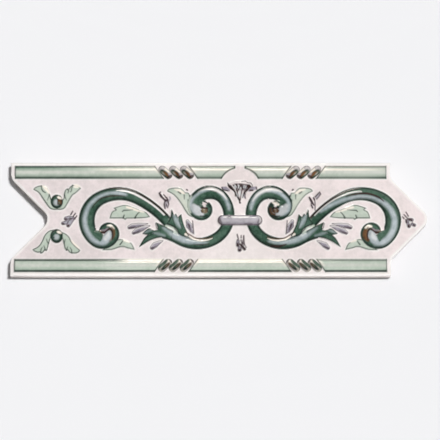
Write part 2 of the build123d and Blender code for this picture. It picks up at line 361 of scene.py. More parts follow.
half_petals = [
    [(-58.1, -4.5, 1.9), (-56.5, -3.9, 2.6), (-53.5, -3.3, 2.0), (-48.6, -2.6, 0.4)],
    [(-55.9, -7.4, 1.7), (-54.2, -6.4, 2.8), (-51.2, -5.1, 2.4), (-47.5, -3.7, 0.4)],
    [(-46.2, -15.4, 2.0), (-44.6, -13.9, 2.9), (-42.7, -12.7, 1.8), (-40.6, -11.7, 0.4)],
    [(-27.6, -1.3, 1.6), (-26.7, -3.6, 3.2), (-25.4, -6.3, 1.8), (-24.2, -8.0, 0.4)],
]
seed_hearts = [
    [(-26.9, -2.7, 0.5), (-26.6, -3.6, 0.8), (-26.4, -4.4, 0.4)],
]
half_petal_shades = [
    [(-58.2, -4.9, 1.2), (-57.0, -4.7, 1.0), (-55.0, -4.2, 0.4)],
    [(-55.9, -7.7, 1.2), (-54.4, -7.2, 0.9), (-52.4, -6.2, 0.3)],
    [(-46.4, -15.7, 1.1), (-45.2, -15.2, 0.7), (-44.0, -14.4, 0.3)],
    [(-27.4, -2.8, 0.8), (-26.6, -4.6, 1.1), (-25.7, -6.2, 0.4)],
]
half_tines = [
    [(-24.9, -1.0, 0.4), (-24.6, -4.0, 0.5), (-24.3, -7.4, 0.4)],
    [(-28.0, 15.6, 0.8), (-27.6, 15.2, 0.6)],
]
forked_tines = [
    [(-41.7, 14.4, 0.5), (-42.4, 13.6, 0.9), (-41.4, 11.9, 1.3), (-39.9, 10.3, 0.9), (-38.9, 9.7, 1.3)],
    [(-40.2, 13.0, 0.5), (-39.5, 12.1, 0.6), (-39.0, 11.3, 0.5)],
    [(-38.6, 11.4, 0.6), (-38.1, 10.1, 1.0)],
    [(-39.5, 9.3, 0.7), (-39.9, 7.5, 0.7), (-39.4, 5.5, 0.7)],
    [(-37.9, 9.4, 0.8), (-37.5, 7.8, 0.6), (-38.1, 6.0, 0.6)],
    [(-38.8, 7.8, 0.5), (-38.7, 6.8, 0.6)],
    [(36.6, 11.4, 0.9), (37.4, 9.8, 1.3), (38.3, 8.2, 1.0), (38.9, 7.3, 0.7)],
    [(38.8, 11.2, 0.8), (39.2, 10.2, 0.9)],
    [(39.6, 11.7, 0.6), (41.2, 13.4, 0.6), (42.0, 14.4, 0.5), (42.5, 13.2, 0.6), (41.6, 11.8, 0.5),
     (40.4, 10.5, 0.5)],
    [(39.4, 10.0, 0.5), (39.6, 7.4, 0.5), (39.5, 4.6, 0.5)],
    [(37.5, 8.4, 0.4), (37.6, 7.2, 0.6), (38.3, 5.8, 0.7)],
]
forked_fills = [
    [(-38.7, 8.9, 1.2), (-38.7, 7.2, 1.5), (-38.9, 6.2, 0.8)],
    [(-36.9, 11.6, 0.9), (-36.7, 10.7, 1.0), (-37.4, 9.8, 1.0)],
    [(40.2, 11.3, 1.0), (41.8, 13.4, 1.2)],
    [(38.0, 7.0, 0.8), (38.4, 6.2, 0.6)],
]
forked_lights = [
    [(-41.0, 13.7, 0.9), (-40.0, 11.8, 0.9)],
    [(37.6, 12.6, 0.9), (38.2, 11.8, 0.9)],
]
sprig_tines = [
    [(-88.0, 4.0, 0.6), (-89.0, 2.2, 0.7)],
    [(-86.6, 2.9, 0.6), (-87.8, 1.1, 0.7)],
    [(-85.9, 1.6, 0.6), (-87.0, -0.1, 0.8)],
    [(-1.5, -8.3, 0.6), (-0.9, -10.4, 0.7)],
    [(0.6, -8.8, 0.5), (0.6, -10.2, 0.6)],
    [(2.0, -9.0, 0.7), (2.0, -11.2, 0.8), (2.2, -13.3, 0.6)],
    [(1.1, -12.6, 0.8), (1.3, -13.4, 0.8)],
    [(2.3, -13.6, 0.4), (3.3, -15.2, 0.5)],
    [(87.4, 3.6, 0.5), (88.6, 1.4, 0.7)],
    [(86.3, 2.3, 0.5), (88.3, 0.1, 0.7)],
    [(85.5, 1.1, 0.5), (86.3, 0.2, 0.7)],
    [(87.3, -0.4, 0.7), (87.6, -2.0, 0.9)],
]
sprig_petals = [
    [(-91.6, 0.1, 1.9), (-89.8, 0.6, 2.0), (-87.6, 0.2, 1.6)],
    [(-93.2, -2.4, 1.6), (-91.4, -2.0, 2.0), (-90.2, -0.8, 1.6)],
    [(-90.3, -3.6, 1.8), (-89.4, -2.0, 2.2), (-88.2, -0.6, 1.7)],
    [(-1.0, -11.5, 1.3), (-1.1, -13.1, 1.9), (-1.2, -14.2, 1.5)],
    [(0.1, -13.6, 0.9), (1.2, -14.9, 1.2), (2.4, -16.1, 1.4)],
    [(-0.6, -15.0, 1.0), (-0.2, -16.5, 2.0)],
    [(88.6, -0.2, 1.2), (90.5, -0.6, 1.6)],
    [(88.5, -0.6, 1.0), (88.2, -2.2, 1.2), (88.9, -3.9, 1.8)],
    [(90.5, -2.9, 1.3), (91.7, -3.4, 1.6)],
]
sprig_shades = [
    [(-1.1, -13.0, 0.7), (-1.2, -14.1, 1.1)],
    [(-0.1, -13.3, 0.5), (1.2, -14.8, 0.8), (2.4, -16.0, 1.0)],
    [(88.7, -0.2, 0.7), (90.3, -0.7, 0.9)],
    [(-92.0, -0.2, 0.8), (-91.2, 0.0, 0.6)],
    [(-89.6, 0.5, 0.7), (-88.9, 0.1, 0.6)],
    [(-93.2, -2.7, 0.9), (-92.5, -2.8, 0.6)],
    [(-90.5, -3.9, 1.1), (-90.0, -3.4, 0.7)],
    [(-0.4, -16.6, 1.1), (0.2, -16.6, 0.8)],
    [(2.2, -16.1, 0.8), (2.7, -16.3, 0.7)],
    [(88.8, -4.0, 1.1), (88.7, -3.3, 0.7)],
    [(91.6, -3.5, 0.9), (91.2, -3.2, 0.6)],
]
sprig_lights = [
    [(-91.8, -2.0, 0.7), (-91.2, -1.8, 0.7)],
    [(-89.5, -1.4, 0.9), (-89.3, -2.6, 0.9)],
    [(-90.4, 0.5, 0.4), (-88.6, 0.7, 0.4)],
    [(89.3, -1.5, 0.8), (89.4, -2.2, 0.6)],
]
sprig_links = [
    [(90.5, -0.8, 0.8), (91.0, -2.6, 0.7)],
    [(0.6, -11.4, 1.2), (1.8, -13.6, 1.8), (1.0, -15.4, 1.6)],
]
fan_shades = [
    [(1.0, 17.5, 1.1), (5.0, 17.2, 1.0)],
    [(1.5, 16.6, 1.2), (4.3, 16.5, 1.2)],
    [(1.9, 15.7, 1.1), (3.3, 15.6, 1.0)],
    [(2.2, 14.9, 0.8), (2.8, 14.8, 0.6)],
]
fan_hatches = [
    [(-3.0, 17.5, 1.2), (0.2, 17.4, 1.5)],
    [(-2.3, 16.3, 1.3), (0.5, 16.2, 1.4)],
    [(-1.8, 15.2, 0.9), (0.4, 15.2, 0.9)],
]
fan_strokes = [
    [(-6.4, 19.1, 0.5), (-6.0, 17.8, 0.9)],
    [(-5.4, 17.2, 1.5), (-4.4, 16.3, 1.4), (-3.2, 15.1, 0.8), (-2.5, 13.9, 0.6), (-1.2, 11.2, 0.5),
     (-0.3, 9.7, 0.6), (0.0, 8.6, 1.1)],
    [(-6.0, 17.6, 0.8), (-4.8, 17.4, 0.6)],
    [(-2.5, 14.0, 0.6), (-2.4, 12.0, 0.5)],
    [(-2.0, 18.2, 0.9), (-1.3, 17.0, 0.6), (-1.8, 15.5, 0.6), (-1.1, 12.6, 0.5), (-0.2, 10.2, 0.5)],
    [(-0.1, 18.4, 0.7), (0.2, 17.0, 0.7), (-0.8, 15.4, 0.6), (-1.4, 14.0, 0.5)],
    [(0.9, 18.3, 0.6), (0.9, 16.8, 0.7), (1.5, 15.6, 0.8)],
    [(1.1, 15.2, 0.7), (0.8, 13.7, 0.6), (0.4, 12.0, 0.5), (0.1, 9.8, 0.6)],
    [(4.3, 17.3, 1.6), (5.4, 17.2, 1.2)],
    [(5.4, 17.1, 0.8), (3.7, 15.3, 1.1), (2.4, 14.0, 0.8), (1.7, 12.6, 0.7), (1.3, 11.2, 0.4)],
    [(2.8, 14.0, 0.5), (2.7, 12.2, 0.5), (2.9, 10.9, 0.5)],
    [(-2.9, 18.4, 0.4), (0.2, 18.4, 0.5), (5.2, 18.0, 0.5)],
    [(-3.6, 17.9, 0.6), (-2.5, 16.2, 0.5)],
]
fan_lights = [
    [(-2.5, 17.7, 0.4), (-2.0, 16.6, 0.4)],
    [(-0.6, 17.7, 0.5), (-0.8, 16.3, 0.5)],
    [(2.3, 17.5, 0.4), (1.9, 16.4, 0.4)],
    [(3.2, 17.3, 0.4), (2.7, 16.3, 0.4)],
    [(0.0, 14.5, 0.8), (-0.1, 12.6, 0.8)],
    [(-1.8, 13.6, 0.5), (-1.0, 11.8, 0.4)],
    [(1.4, 13.0, 0.5), (0.9, 11.2, 0.4)],
    [(-3.0, 17.2, 0.5), (-2.4, 15.8, 0.5)],
    [(0.5, 16.6, 0.4), (0.1, 15.8, 0.4)],
]
fan_wings = [
    [(-9.2, 16.5, 1.3), (-7.6, 16.1, 2.3), (-5.8, 15.2, 1.2)],
    [(8.2, 16.4, 1.7), (6.4, 16.0, 2.3), (4.9, 15.0, 1.1)],
    [(2.2, 14.0, 0.7), (2.1, 12.2, 0.9), (2.4, 11.2, 0.6)],
]
fan_wing_edges = [
    [(-9.5, 16.9, 0.5), (-9.1, 15.5, 0.5), (-6.4, 14.9, 0.5)],
    [(5.3, 15.2, 0.8), (6.7, 15.2, 0.8)],
    [(8.6, 17.0, 0.5), (8.9, 15.6, 0.5)],
    [(0.8, 19.7, 0.3), (2.7, 20.2, 0.35), (4.1, 19.3, 0.4), (5.7, 19.2, 0.4), (6.5, 18.1, 0.4),
     (6.4, 17.1, 0.4)],
]

# Glaze bands along a roll, with white and cream bands as painted highlights and amber ones as painted warm
# reflections: colour, strength, softness, then rows of length along the roll and the band's two edges in
# half-widths of the roll, where plus is the outside of its bend
outer_bands_left = [
    ("lavender", 1.0, 1.4, [(28, -0.3, 0.05), (32, -0.35, 0.3), (37, 0.0, 0.42), (48, -0.06, 0.5),
     (57, -0.04, 0.58), (68, 0.0, 0.68), (71, -0.05, 0.6), (74, -0.9, 0.5), (77, -1.3, 0.1),
     (85, -1.3, -0.9)]),
    ("umber", 0.85, 0.5, [(29, -0.5, -0.4), (35, -0.5, -0.25), (42, -0.28, -0.05), (50, -0.4, -0.3)]),
    ("white", 0.9, 0.4, [(5.5, 0.32, 0.68), (22, 0.22, 0.64), (27, 0.28, 0.66), (31, 0.36, 0.7),
     (34, 0.5, 0.55)]),
    ("umber", 0.85, 0.5, [(4.5, 0.74, 1.2), (22, 0.7, 0.98), (30, 0.82, 1.1), (37, 1.0, 1.2)]),
    ("amber", 0.6, 0.7, [(76, -0.1, 0.3), (80, -0.45, 0.0), (86, -0.85, -0.3)]),
    ("cream", 1.0, 0.5, [(83.2, 0.1, 0.4), (85, -0.02, 0.6), (87.2, 0.1, 0.45)]),
]
outer_bands_right = [
    ("lavender", 1.0, 1.4, [(8, 0.1, 0.5), (13, -0.3, 0.45), (20, -0.6, 0.05), (26, -0.8, -0.3),
     (38, -0.7, -0.25), (44, -0.7, -0.05), (51, -0.45, 0.3), (57, -0.22, 0.58), (67, -0.1, 0.75),
     (71, -0.15, 0.7), (74, -0.95, 0.55), (77, -1.3, 0.0), (85, -1.3, -0.8)]),
    ("white", 0.9, 0.4, [(5, 0.46, 0.7), (13, 0.48, 0.72), (19, 0.38, 0.64), (24, 0.2, 0.48),
     (33, 0.2, 0.34)]),
    ("umber", 0.85, 0.5, [(3, 0.68, 1.2), (22, 0.66, 0.98), (32, 0.74, 0.9)]),
    ("umber", 0.95, 0.5, [(24, -0.12, 0.0), (29, -0.26, 0.05), (36, -0.14, 0.22), (42, -0.18, 0.14),
     (46, -0.2, -0.1)]),
    ("amber", 1.0, 0.8, [(77, -0.1, 0.5), (80, -0.3, 0.75), (83.5, -0.35, 0.6)]),
    ("cream", 1.0, 0.5, [(83.4, 0.1, 0.75), (85, -0.15, 0.8), (86.8, -0.3, 0.2)]),
]
inner_bands_left = [
    ("lavender", 1.0, 1.6, [(0, -0.9, 0.5), (9, -0.8, 0.25), (15, -0.75, 0.1), (20, -0.45, 0.15),
     (25, 0.1, 0.15)]),
    ("lavender", 0.95, 1.4, [(46.5, -0.1, 0.3), (49, -0.15, 0.6), (52, -0.05, 0.64), (55, 0.05, 0.64),
     (58, 0.2, 0.5)]),
    ("lavender", 1.0, 1.2, [(61.5, 0.2, 0.3), (64, 0.12, 0.5), (68, 0.15, 0.6), (71, 0.25, 0.8),
     (73.5, 0.3, 0.88), (75, 0.15, 0.8), (76.6, -1.3, 0.6), (79, -1.3, 0.4), (82, -1.3, -0.8)]),
    ("white", 0.95, 0.9, [(52, 0.4, 0.5), (55.5, 0.26, 0.74), (60, 0.25, 0.8), (64, 0.4, 0.8),
     (67.5, 0.62, 0.72)]),
    ("dark", 0.8, 0.6, [(60.5, 0.88, 1.2), (64, 0.66, 1.2), (68, 0.62, 1.2), (71.5, 0.88, 1.2)]),
    ("sage", 0.75, 0.6, [(70, 0.85, 1.2), (73, 0.7, 1.2), (77, 0.78, 1.2)]),
    ("umber", 0.9, 0.5, [(17, 0.2, 0.26), (21, 0.2, 0.4), (25, 0.45, 0.55)]),
]
inner_bands_right = [
    ("lavender", 1.0, 1.6, [(0, -0.9, 0.2), (9, -0.9, 0.0), (15, -0.7, 0.1), (20, -0.45, 0.2),
     (27, 0.0, 0.25)]),
    ("lavender", 0.95, 1.4, [(46.5, -0.1, 0.3), (49, -0.12, 0.6), (52, -0.05, 0.66), (56, 0.0, 0.62),
     (60, 0.1, 0.5)]),
    ("lavender", 1.0, 1.2, [(60, 0.0, 0.3), (65, -0.12, 0.55), (69, -0.05, 0.62), (72, 0.12, 0.78),
     (74.5, 0.12, 0.88), (76.2, -1.3, 0.85), (79, -1.3, 0.5), (83, -1.3, -0.5)]),
    ("dark", 0.8, 0.6, [(59, 0.85, 1.2), (64, 0.66, 1.2), (69, 0.64, 1.2), (73, 0.88, 1.2)]),
    ("white", 0.9, 1.0, [(51, 0.3, 0.4), (55, 0.14, 0.64), (60, 0.1, 0.7), (64, 0.24, 0.72),
     (67.5, 0.56, 0.68)]),
    ("umber", 0.95, 0.5, [(18, 0.36, 0.46), (22, 0.45, 0.72), (28, 0.5, 0.56)]),
    ("umber", 0.8, 0.8, [(81.5, -0.6, 0.5), (84, -0.8, 0.8), (87, -0.8, 0.8), (90, -0.4, 0.5)]),
    ("amber", 0.9, 0.7, [(82, -0.5, 0.2), (85, -0.5, 0.5), (88.5, -0.3, 0.4)]),
]

# Pooled glaze, painted shade, painted highlights and painted warm reflections on a turn of ribbon: colour,
# strength, middle along and across it, and reach along and across it
upper_wrap_pools_and_light = [
    ("mauve", 0.65, -3.0, 0.3, 1.7, 2.2),
    ("green", 0.9, 1.0, -1.9, 3.6, 0.9),
    ("dark", 0.97, 0.4, -0.85, 3.2, 1.45),
    ("moss", 0.55, 0.0, -1.15, 2.0, 0.65),
    ("amber", 0.35, -0.2, -0.9, 1.6, 0.6),
    ("amber", 1.0, 1.2, -0.5, 1.9, 0.75),
    ("cream", 0.4, -0.3, -1.3, 0.9, 0.28),
    ("mauve", 0.75, 2.9, 0.7, 1.4, 0.9),
    ("umber", 0.85, 3.7, -0.8, 1.1, 1.9),
]
lower_wrap_pools_and_light = [
    ("mauve", 0.5, 0.0, 1.9, 4.4, 0.9),
    ("green", 0.95, -0.4, -1.5, 3.6, 1.25),
    ("dark", 0.6, -3.4, -0.8, 1.1, 1.2),
    ("umber", 1.0, -0.2, 0.7, 3.2, 0.95),
    ("dark", 0.9, -1.6, 0.65, 1.7, 0.7),
    ("amber", 0.7, 0.9, 0.75, 1.6, 0.6),
    ("moss", 0.35, 0.2, 0.6, 1.4, 0.4),
    ("plum", 0.85, 4.1, 0.2, 0.9, 1.8),
]


def colour(red, green, blue):
    """A colour as seen, from 0 to 255, in the linear numbers that a shader takes."""
    return tuple((value / 255 / 12.92 if value < 10.3 else ((value / 255 + 0.055) / 1.055) ** 2.4)
                 for value in (red, green, blue)) + (1.0,)


# Each glaze from its thin tone to its pooled tone. Cream and white are laid as painted highlights as well,
# and amber as painted warm reflections
glazes = {
    "ground": (colour(243, 230, 229), colour(227, 216, 214)),
    "white": (colour(252, 248, 245), colour(246, 240, 237)),
    "sage": (colour(202, 210, 198), colour(184, 197, 182)),
    "moss": (colour(112, 142, 122), colour(86, 116, 98)),
    "green": (colour(84, 112, 96), colour(46, 76, 60)),
    "dark": (colour(44, 62, 54), colour(28, 42, 36)),
    "lavender": (colour(190, 198, 202), colour(156, 169, 172)),
    "amber": (colour(122, 86, 56), colour(78, 55, 38)),
    "umber": (colour(66, 46, 42), colour(40, 27, 26)),
    "cream": (colour(253, 245, 232), colour(246, 235, 222)),
    "mauve": (colour(174, 168, 178), colour(146, 140, 150)),
    "plum": (colour(104, 92, 100), colour(64, 54, 60)),
}

# Face grid, and the reach and softness of the glaze's edges
cell = 0.37
edge_steps = np.array([0.0, 0.05, 0.16, 0.34, 0.58])
edge_reach = 0.9
soft_edge = 0.4
halo_reach = 1.1
halo_strength = 0.95
line_bleed = 0.4
glaze_softening = 0.3
fill_softness = 0.7
leaf_line = 0.5

# Tints of the ground: mauve towards the left, pale about a place below the clasp, and white along the rim
# as a painted highlight on its rounded edge
left_tint_start = 10.0
left_tint_reach = 70.0
pale_height = -16.0
pale_radius = 8.0
pale_reach = 22.0
rim_line = 0.5
rim_reach = 1.4


def spaced(length):
    """Distances across a length: even cells, with closer ones at its two rounded edges."""
    inner_length = length - 2 * edge_reach
    inner = np.linspace(edge_reach, length - edge_reach, round(inner_length / cell) + 1)
    return np.concatenate([edge_steps, inner, length - edge_steps[::-1]])


def end_profile(y):
    """How far the outline of either end lies past its shoulder at each Y."""
    reach = np.abs(y)
    depth = flank_half_height / math.tan(flank_angle)
    turn = math.pi / 2 - flank_angle
    shoulder_start = flank_half_height + shoulder_radius * math.tan(turn / 2)
    shoulder_end = shoulder_start - shoulder_radius * math.sin(turn)
    shoulder_drop = np.clip(shoulder_start - reach, 0.0, shoulder_radius)
    shoulder_arc = shoulder_radius - np.sqrt(shoulder_radius**2 - shoulder_drop**2)
    apex_end = apex_radius * math.cos(flank_angle)
    apex_centre = depth - apex_radius / math.sin(flank_angle)
    apex_arc = apex_centre + np.sqrt(np.maximum(apex_radius**2 - reach**2, 0.0))
    flank = depth - reach / math.tan(flank_angle)
    return np.where(reach > shoulder_end, shoulder_arc, np.where(reach > apex_end, flank, apex_arc))


rows = spaced(tile_width) - tile_width / 2
columns = spaced(tile_length)
row_shift = end_profile(rows)
face_x = shoulder_x + row_shift[:, None] + columns[None, :]
face_y = np.repeat(rows[:, None], len(columns), axis=1)
from_axis = face_x - axis_x
half_x = -np.abs(from_axis)
on_left = from_axis < 0

height = np.zeros(face_x.shape)
paint = {name: np.zeros(face_x.shape) for name in glazes}
paint["ground"] += 1.0


def covered(inside, softness=soft_edge):
    """How much of a place is covered, from its distance inside an edge."""
    return np.clip(inside / softness + 0.5, 0.0, 1.0)


def fading(inside, reach):
    """Full at an edge and outside it, and fading away over a reach inside it."""
    return np.clip(1.0 - inside / reach, 0.0, 1.0)


def lay(colour, cover):
    """Lays one glaze colour over what is there."""
    for name in glazes:
        paint[name] *= 1.0 - cover
    paint[colour] += cover


def thin_ground(inside):
    """Leaves the ground glaze thin and white just outside an edge."""
    lay("white", halo_strength * paint["ground"] * fading(-inside, halo_reach))


def raise_to(form):
    """Raises the face to a form wherever the form stands higher."""
    np.maximum(height, form, out=height)


def cap(offset, width, rise):
    """Height of a round cap of this width and rise, at an offset from its middle.

    A cap taller than half its width also gives the level of its widest place to everything beyond it.
    """
    radius = (width**2 / 4 + rise**2) / (2 * rise)
    return np.maximum(np.sqrt(np.maximum(radius**2 - offset**2, 0.0)) - (radius - rise), 0.0)


def outline_points(outline, steps=8):
    """Points round an outline, on the smooth curve through each of its runs."""
    share = np.linspace(0.0, 1.0, steps, endpoint=False)[:, None]
    points = []
    for run_before, run in zip(outline[-1:] + outline, outline):
        knots = np.array(run_before[-1:] + run)
        knots = np.vstack([2 * knots[0] - knots[1], knots, 2 * knots[-1] - knots[-2]])
        for before, start, end, after in zip(knots, knots[1:], knots[2:], knots[3:]):
            slope = (end - before) * share
            bend = (2 * before - 5 * start + 4 * end - after) * share**2
            twist = (3 * start - before - 3 * end + after) * share**3
            points.append(start + 0.5 * (slope + bend + twist))
    return np.vstack(points)


def inside_outline(outline, x, y):
    """Distance of each place inside an outline, negative outside it."""
    corners = outline_points(outline)
    nearest = np.full(x.shape, np.inf)
    inside = np.zeros(x.shape, bool)
    for (start_x, start_y), (end_x, end_y) in zip(corners, np.roll(corners, -1, axis=0)):
        step_x = end_x - start_x
        step_y = end_y - start_y
        share = ((x - start_x) * step_x + (y - start_y) * step_y) / (step_x**2 + step_y**2)
        share = np.clip(share, 0.0, 1.0)
        nearest = np.minimum(nearest, np.hypot(x - start_x - share * step_x, y - start_y - share * step_y))
        if step_y != 0.0:
            crossed = (start_y > y) != (end_y > y)
            inside ^= crossed & (x < start_x + (y - start_y) * step_x / step_y)
    return np.where(inside, nearest, -nearest)


def inside_stroke(stroke, x, y):
    """Distance of each place inside a tapered brush stroke, negative outside it."""
    inside = np.full(x.shape, -np.inf)
    for (start_x, start_y, start_width), (end_x, end_y, end_width) in zip(stroke, stroke[1:]):
        step_x = end_x - start_x
        step_y = end_y - start_y
        share = ((x - start_x) * step_x + (y - start_y) * step_y) / (step_x**2 + step_y**2)
        share = np.clip(share, 0.0, 1.0)
        half_width = (start_width + (end_width - start_width) * share) / 2
        distance = np.hypot(x - start_x - share * step_x, y - start_y - share * step_y)
        inside = np.maximum(inside, half_width - distance)
    return inside


def brush(strokes, colour, x, strength=1.0, rise=0.0, softness=soft_edge):
    """Paints strokes, and raises or sinks the face under them."""
    for stroke in strokes:
        cover = covered(inside_stroke(stroke, x, face_y), softness)
        lay(colour, strength * cover)
        height[...] += rise * cover


def fill_gaps(strokes, colour, rise):
    """Fills the face under strokes up to a rise, in one colour."""
    for stroke in strokes:
        inside = inside_stroke(stroke, half_x, face_y)
        raise_to(rise * covered(inside, fill_slope))
        lay(colour, covered(inside, fill_softness))


def scroll_places(start, heading, width, arcs):
    """Where each place lies on a scroll: offset to the outside, width there, and length along it."""
    place = np.array(start)
    along = math.radians(heading)
    length = 0.0
    offset = np.full(half_x.shape, np.inf)
    widths = np.ones(half_x.shape)
    lengths = np.zeros(half_x.shape)
    for radius, turn, end_width in arcs:
        bend = math.radians(turn)
        side = math.copysign(1.0, bend)
        centre = place + side * radius * np.array([-math.sin(along), math.cos(along)])
        off_x = half_x - centre[0]
        off_y = face_y - centre[1]
        angle = side * (np.arctan2(off_y, off_x) - along) + math.pi / 2
        share = np.mod(angle, 2 * math.pi) / abs(bend)
        arc_offset = side * (np.hypot(off_x, off_y) - radius)
        nearer = (share < 1.0 + arc_overlap) & (np.abs(arc_offset) < np.abs(offset))
        offset = np.where(nearer, arc_offset, offset)
        widths = np.where(nearer, width + (end_width - width) * share, widths)
        lengths = np.where(nearer, length + share * radius * abs(bend), lengths)
        along += bend
        place = centre + side * radius * np.array([math.sin(along), -math.cos(along)])
        length += radius * abs(bend)
        width = end_width
    return offset, widths, lengths


def mould_rails():
    """The two rails, cut back at the bindings and under the arch, with glaze pooled along their edges,
    painted shade along their lower sides and painted highlights along their upper sides.
    """
    half = rail_width / 2
    outward = np.abs(face_y) - rail_offset
    across = face_y - np.sign(face_y) * rail_offset
    upper = face_y > 0
    on_right = from_axis > 0
    gap_middle = -binding_offset - binding_slant / 2 * outward / half
    ends = np.minimum(face_x - shoulder_x, far_shoulder_x - face_x) - rail_end_margin
    gaps = np.abs(half_x - gap_middle) - binding_gap / 2
    arch = np.minimum(np.hypot(from_axis, face_y - arch_height) - arch_radius, np.abs(from_axis) - arch_gap)
    arch = np.where(upper, arch, np.inf)
    open_length = np.minimum(np.minimum(ends, gaps), arch)
    inside = np.minimum(half - np.abs(outward), open_length)
    raise_to(np.where(inside > 0, cap(outward, rail_width, rail_rise), 0.0))
    thin_ground(inside)
    body = covered(inside + line_bleed / 2)
    lay("sage", body)
    left_end = np.clip((-from_axis - end_moss_start) / end_moss_reach, 0.0, 1.0)
    middle = np.clip((light_start + half_x) / light_reach, 0.0, 1.0)
    lower_middle = np.clip((from_axis + lower_light_start) / lower_light_reach, 0.0, 1.0)
    lower_middle *= covered(lower_light_end - from_axis)
    beyond_left = np.clip((from_axis + thin_line_start) / thin_line_reach, 0.0, 1.0)
    upper_line = covered(across - half + 0.7) * upper
    lower_line = (1.0 - lower_middle) * covered(across - half + 1.05) * ~upper
    lay("ground", body * 0.3 * fading(np.abs(across), 1.3))
    lay("moss", body * 0.9 * np.clip((across - 0.3) / 2.2, 0.0, 1.0) * left_end * upper)
    # painted shade: moss darkening towards the lower side of each rail, less of it in the middle of the
    # tile
    lay("moss", body * (0.65 - 0.4 * middle) * np.clip((-0.9 - across) / 2.0, 0.0, 1.0))
    # painted highlights: cream along the upper side in the middle of each rail and beside the bindings
    lay("cream", body * 0.85 * middle * covered(across - 0.7, 0.7) * covered(2.0 - across, 0.8) * upper)
    lay("cream", body * 0.9 * lower_middle * covered(across - 1.3, 0.8) * ~upper)
    lay("cream", body * 0.7 * fading(gaps - 0.4, 2.2) * covered(across + 0.4, 1.2))
    lay("dark", body * (0.85 - 0.35 * beyond_left) * upper_line)
    lay("amber", body * 0.2 * beyond_left * upper_line)
    lay("dark", body * (0.82 - 0.25 * on_right) * lower_line)
    lay("dark", body * (0.95 - (0.12 + 0.18 * middle) * upper) * covered(-half + 0.85 - across, 0.6))
    lay("dark", body * 0.75 * covered(0.55 - np.minimum(ends + 0.2, np.minimum(gaps, arch))))


def mould_bindings():
    """Three rounded turns of ribbon over each break in a rail, with pooled glaze, painted shade, painted
    highlights and painted warm reflections along them.
    """
    for edge, pools_and_light in ((-1, lower_wrap_pools_and_light), (1, upper_wrap_pools_and_light)):
        off_y = face_y - edge * rail_offset
        for turn in (-1, 0, 1):
            off_x = half_x + binding_offset - turn * wrap_pitch
            along = off_x * math.cos(wrap_angle) - edge * off_y * math.sin(wrap_angle)
            across = off_x * math.sin(wrap_angle) + edge * off_y * math.cos(wrap_angle)
            radius = wrap_width / 2
            distance = np.hypot(np.maximum(np.abs(along) - wrap_reach, 0.0), across)
            inside = radius - distance
            ribbon = wrap_lift + np.sqrt(np.maximum(radius**2 - distance**2, 0.0))
            raise_to(np.where(inside > 0, ribbon, 0.0))
            thin_ground(inside)
            body = covered(inside)
            lay("cream", body)
            # the marks lay pooled glaze together with painted shade, painted highlights and painted warm
            # reflections
            for colour, strength, mark_along, mark_across, reach_along, reach_across in pools_and_light:
                share = np.hypot((along - mark_along) / reach_along, (across - mark_across) / reach_across)
                lay(colour, strength * body * covered((1.0 - share) * reach_across, 0.5))
            lay("dark", body * 0.6 * covered(0.4 - inside))


def mould_leaf(outline, x, y, rises, colour, edge_strength):
    """A leaf: crowned over its outline, in one colour with a dark edge."""
    rise, edge_rise = rises
    corners = np.array([run[-1] for run in outline])
    middle = corners.mean(axis=0)
    reach = np.hypot(*(corners - middle).T).max()
    share = np.hypot(x - middle[0], y - middle[1]) / reach
    inside = inside_outline(outline, x, y)
    crown = edge_rise + (rise - edge_rise) * (1.0 - share**2)
    raise_to(np.where(inside > 0, crown, 0.0))
    thin_ground(inside)
    lay(colour, covered(inside))
    lay("dark", edge_strength * covered(inside) * covered(leaf_line - inside))


def band_edge(table, edge, length):
    """One edge of a glaze band at each length along its roll."""
    return np.interp(length, [row[0] for row in table], [row[edge] for row in table])


def mould_scroll(scroll, left_bands, right_bands, eye):
    """A tapered roll that curls into its eye, in deep green with pale bands, painted highlights and painted
    warm reflections along it.
    """
    offset, width, length = scroll_places(*scroll)
    half = width / 2
    inside = half - np.abs(offset)
    across = offset / half
    raise_to(cap(offset, width, width * roll_flatness))
    thin_ground(inside + line_bleed)
    body = covered(inside + line_bleed)
    lay("green", body)
    lay("dark", body * 0.95 * fading(inside - 0.3, 0.9))
    for side, bands in ((on_left, left_bands), (~on_left, right_bands)):
        for colour, strength, softness, table in bands:
            low = band_edge(table, 1, length)
            high = band_edge(table, 2, length)
            inside_band = np.minimum(across - low, high - across) * half
            ends = np.minimum(length - table[0][0], table[-1][0] - length)
            cover = covered(inside_band, softness) * covered(ends, softness)
            lay(colour, strength * body * side * cover)
    (eye_x, eye_y), eye_width = eye
    eye_distance = np.hypot(half_x - eye_x, face_y - eye_y)
    raise_to(cap(eye_distance, eye_width, eye_width * eye_flatness))


